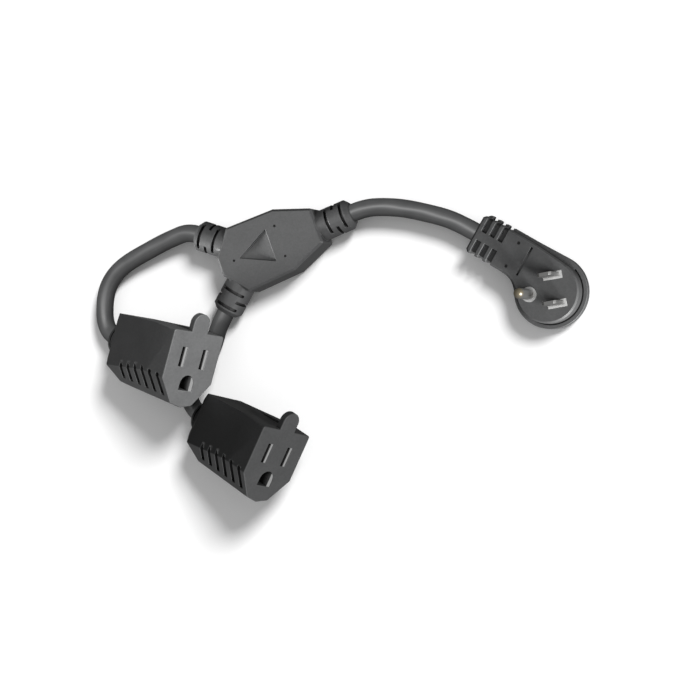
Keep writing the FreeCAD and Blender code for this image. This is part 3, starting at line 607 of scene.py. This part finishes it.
# %% Floor
FLOOR_HALF = 3.0
PAPER_CLOUD_MM = 400.0
floor_finish = Finish("paper_floor", Roughness=0.9)
paper_cloud = floor_finish.noise(PAPER_CLOUD_MM)
floor_finish.vary(Base_Color=floor_finish.blend(paper_cloud, grey(0.92), grey(0.94)))
corners = np.array([(-1, -1, 0), (1, -1, 0), (1, 1, 0), (-1, 1, 0)]) * FLOOR_HALF
floor_mesh = bpy.data.meshes.new("floor")
floor_mesh.from_pydata(corners.tolist(), [], [(0, 1, 2, 3)])
floor_mesh.materials.append(floor_finish.material)
floor = bpy.data.objects.new("floor", floor_mesh)
floor.visible_diffuse = False
floor.visible_glossy = False
scene.collection.objects.link(floor)
print("floor", 2 * FLOOR_HALF, "m wide")

# %% The room
ROOM_LEVEL = 0.1
WHITE = (1.0, 1.0, 1.0, 1.0)
room = bpy.data.worlds.new("room")
room.use_nodes = True
background = room.node_tree.nodes["Background"]
background.inputs["Color"].default_value = WHITE
background.inputs["Strength"].default_value = ROOM_LEVEL
scene.world = room
scene.view_settings.view_transform = "Standard"
print("room level", ROOM_LEVEL)

# %% [markdown]
# A studio sets flags and screens so that a lamp reaches one part of its subject only.
# Blender's light linking does the same with a collection of receivers for each light, and
# a collection of blockers says which pieces throw its shadow. A piece belongs to a group
# by the words in its name.

# %% Groups of pieces and the lights' helpers
PIECES = [piece for piece in scene.objects if piece.type == "MESH" and piece != floor]


def group(name, words, without=()):
    """A collection of the pieces whose names hold one of the words, and none of the others."""
    chosen = bpy.data.collections.new(name)
    for piece in PIECES:
        wanted = any(word in piece.name for word in words)
        if wanted and not any(word in piece.name for word in without):
            chosen.objects.link(piece)
    return chosen


def aimed(name, kind, target_mm, direction, distance, lit, **settings):
    """A light that stands in a direction from its target, looks at it and lights one group."""
    lamp = bpy.data.lights.new(name, kind)
    for label, value in settings.items():
        setattr(lamp, label, value)
    holder = bpy.data.objects.new(name, lamp)
    way = np.array(direction) / np.linalg.norm(direction)
    holder.location = np.array(target_mm) * MM + way * distance
    holder.rotation_euler = (0.0, math.acos(way[2]), math.atan2(way[1], way[0]))
    scene.collection.objects.link(holder)
    holder.light_linking.receiver_collection = lit
    return holder


def panel(name, target_mm, direction, distance, lit, energy, width, height):
    """A rectangular panel, in watts and metres, that lights one group of pieces."""
    aimed(
        name, "AREA", target_mm, direction, distance, lit,
        energy=energy, shape="RECTANGLE", size=width, size_y=height,
    )


floor_only = bpy.data.collections.new("floor_only")
floor_only.objects.link(floor)
shadow_casters = group("shadow_casters", ("_overmould", "_jacket"))
cords = group("cords", ("_jacket",))
contacts = group("contacts", ("_contact_",))
bodies = group("bodies", ("plug", "blade", "pin", "junction", "socket"), ("_contact_",))
plug_pieces = group("plug_pieces", ("plug",))
first_socket = group("first_socket", ("socket_a",), ("_contact_",))
both_sockets = group("both_sockets", ("socket_",), ("_contact_",))
junction_body = group("junction_body", ("junction_overmould",))
upper_pieces = group("upper_pieces", ("junction", "socket_a"))

# %% [markdown]
# The side panel is the main light: it comes from the right and makes the sockets' faces
# the lightest walls. The first socket's face is lighter still and has its own panel, and
# a weak one from the left draws the slotted facets out of the dark. A panel that rakes
# over the junction from the left shows its scooped triangle, a low one lights the plug's
# rim, two from above lift the flat tops, and a broad one reaches the contacts behind the
# openings. A long, narrow strip overhead draws the highlight along the cords.

# %% The lights
MIDDLE = (-100.0, -25.0, 0.0)
OVER_JUNCTION = (-150.0, 20.0, 0.0)
OVER_PLUG = (-10.0, 10.0, 0.0)
UPPER_RIGHT = (0.55, 0.55, 0.7)
STRAIGHT_UP = (0.0, 0.0, 1.0)
FROM_RIGHT = (0.82, -0.25, 0.56)
SUN_WIDTH = math.radians(19.0)
SKY_WIDTH = math.radians(170.0)

sun = aimed(
    "shadow_sun", "SUN", MIDDLE, UPPER_RIGHT, 2.0, floor_only, energy=3.7, angle=SUN_WIDTH
)
sun.light_linking.blocker_collection = shadow_casters
aimed("floor_fill", "SUN", MIDDLE, STRAIGHT_UP, 2.0, floor_only, energy=1.1, angle=SKY_WIDTH)
panel("side_panel", MIDDLE, FROM_RIGHT, 1.0, bodies, 8.5, 0.3, 0.3)
panel("contact_panel", MIDDLE, FROM_RIGHT, 1.0, contacts, 10.0, 0.5, 0.5)
panel("face_panel", MIDDLE, (0.9, 0.3, 0.5), 1.0, first_socket, 14.0, 0.4, 0.4)
panel("left_panel", MIDDLE, (-0.3, -0.95, 0.1), 0.8, both_sockets, 3.6, 0.2, 0.1)
panel("dish_panel", OVER_JUNCTION, (-0.9, -0.35, 0.22), 0.8, junction_body, 11.5, 0.15, 0.15)
panel("low_panel", MIDDLE, (0.62, -0.78, 0.1), 1.0, plug_pieces, 20.0, 0.35, 0.15)
panel("top_panel", OVER_JUNCTION, STRAIGHT_UP, 0.6, upper_pieces, 1.3, 0.4, 0.3)
panel("plug_panel", OVER_PLUG, (0.2, -0.3, 1.0), 0.6, plug_pieces, 0.8, 0.3, 0.3)
panel("strip", MIDDLE, (0.0, 0.15, 0.98), 0.9, cords, 11.0, 0.12, 0.9)
